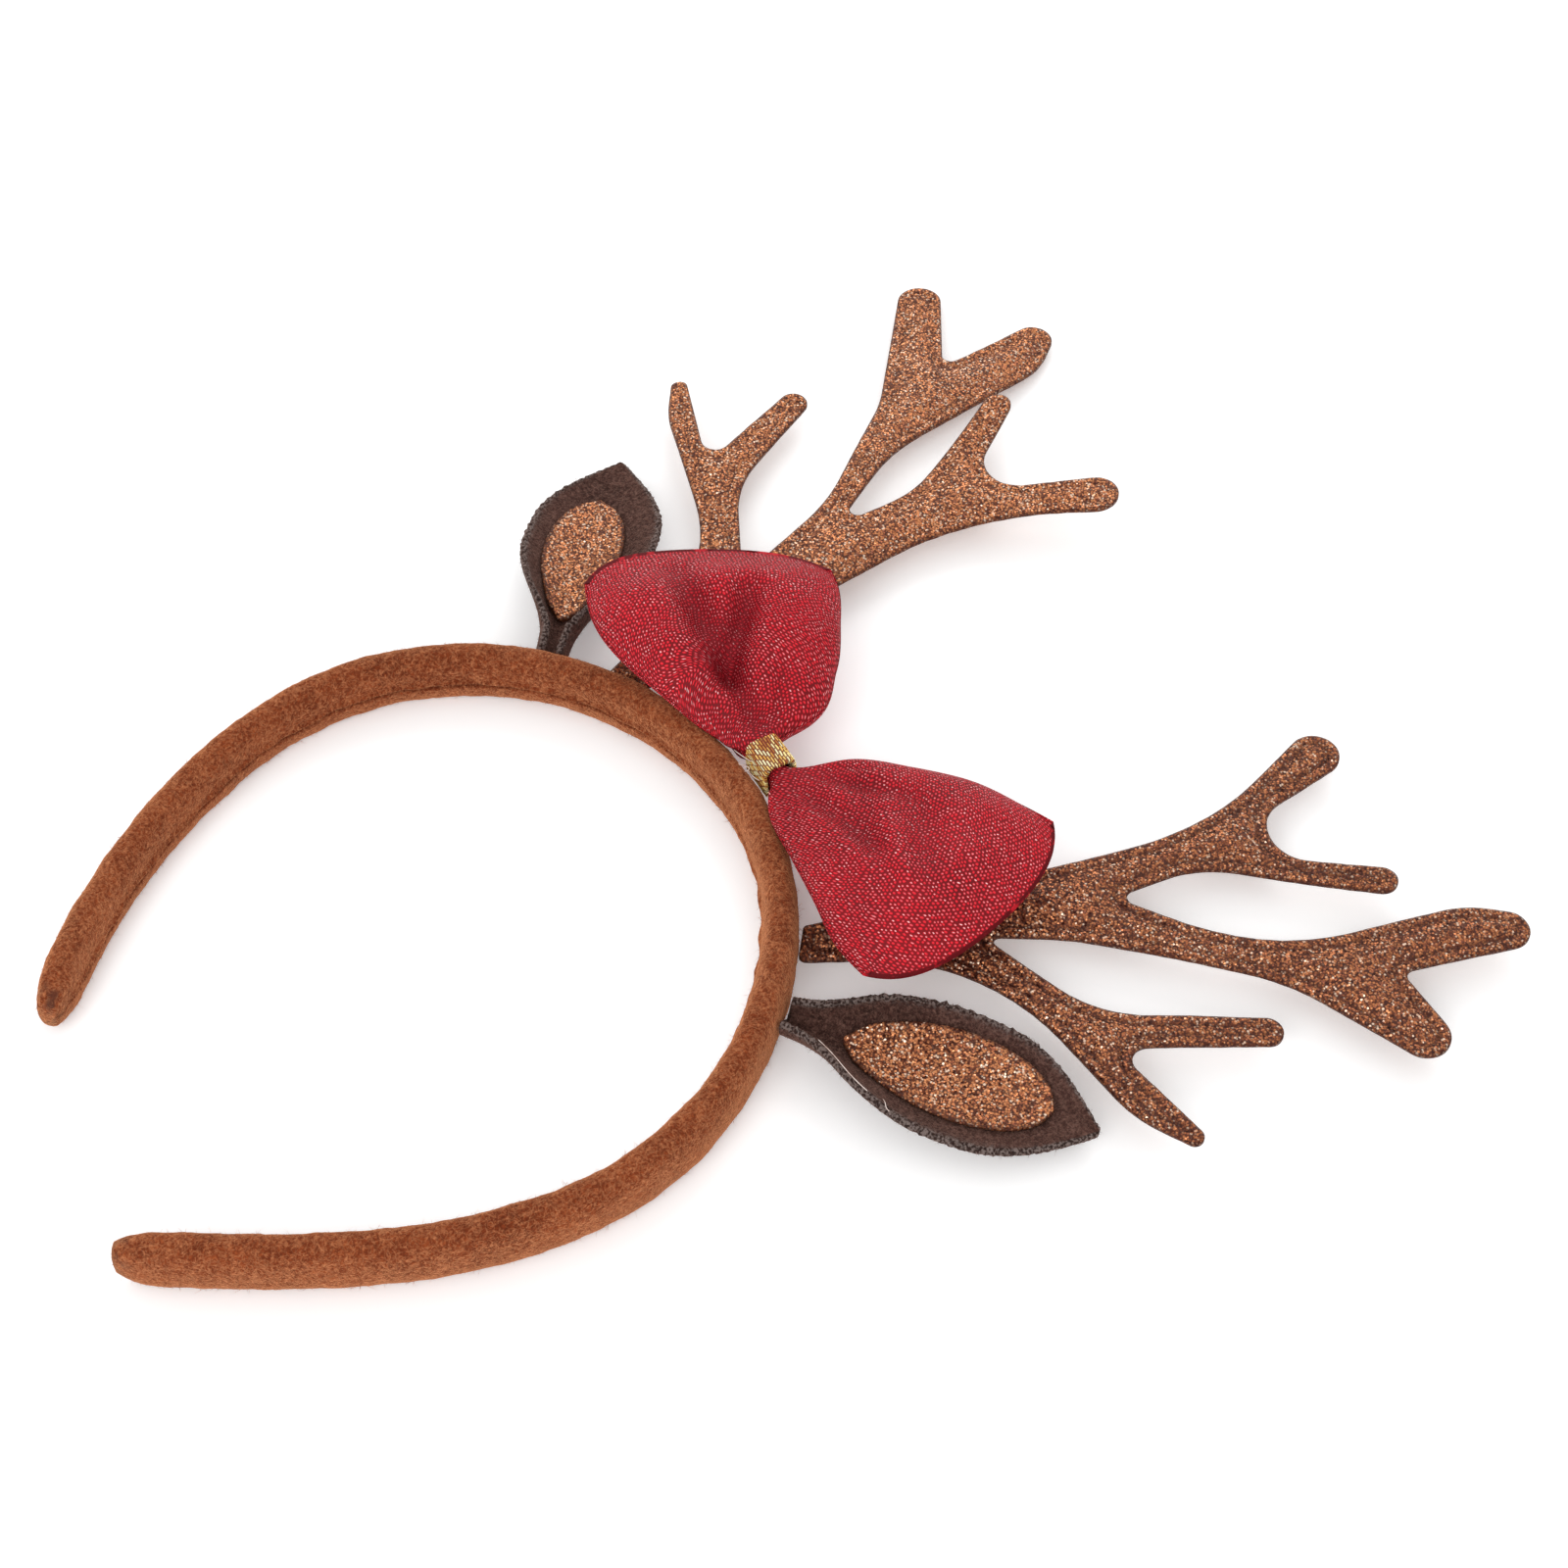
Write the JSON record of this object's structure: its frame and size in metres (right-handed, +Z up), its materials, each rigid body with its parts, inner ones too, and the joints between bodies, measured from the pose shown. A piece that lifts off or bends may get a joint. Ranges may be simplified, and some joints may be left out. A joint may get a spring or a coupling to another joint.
{
  "type": "reindeer antler headband",
  "caption": "Padded costume headband with branched glitter antlers, cupped felt ears and a knitted bow tied with a ribbon loop, lying flat.",
  "frame": {"origin": "on the flat underside of the band, below the middle line of its padding at the crown", "axes": "+Z up with the headband lying down, +Y from the crown towards the antler tips, +X towards the wearer's left"},
  "size_m": [0.2362, 0.2766, 0.0258],
  "materials": {
    "brown_felt": "fuzzy rust-brown felt",
    "dark_felt": "dark chocolate felt with cut edges",
    "copper_glitter": "copper glitter fabric",
    "red_knit": "red knit with shiny thread",
    "gold_ribbon": "woven gold ribbon"
  },
  "bodies": {
    "root": {"headband": "brown_felt", "antler_left": "copper_glitter", "antler_right": "copper_glitter", "ear_left": "dark_felt", "ear_right": "dark_felt", "ear_insert_left": "copper_glitter", "ear_insert_right": "copper_glitter", "bow": "red_knit", "bow_band": "gold_ribbon"}
  },
  "joints": []
}
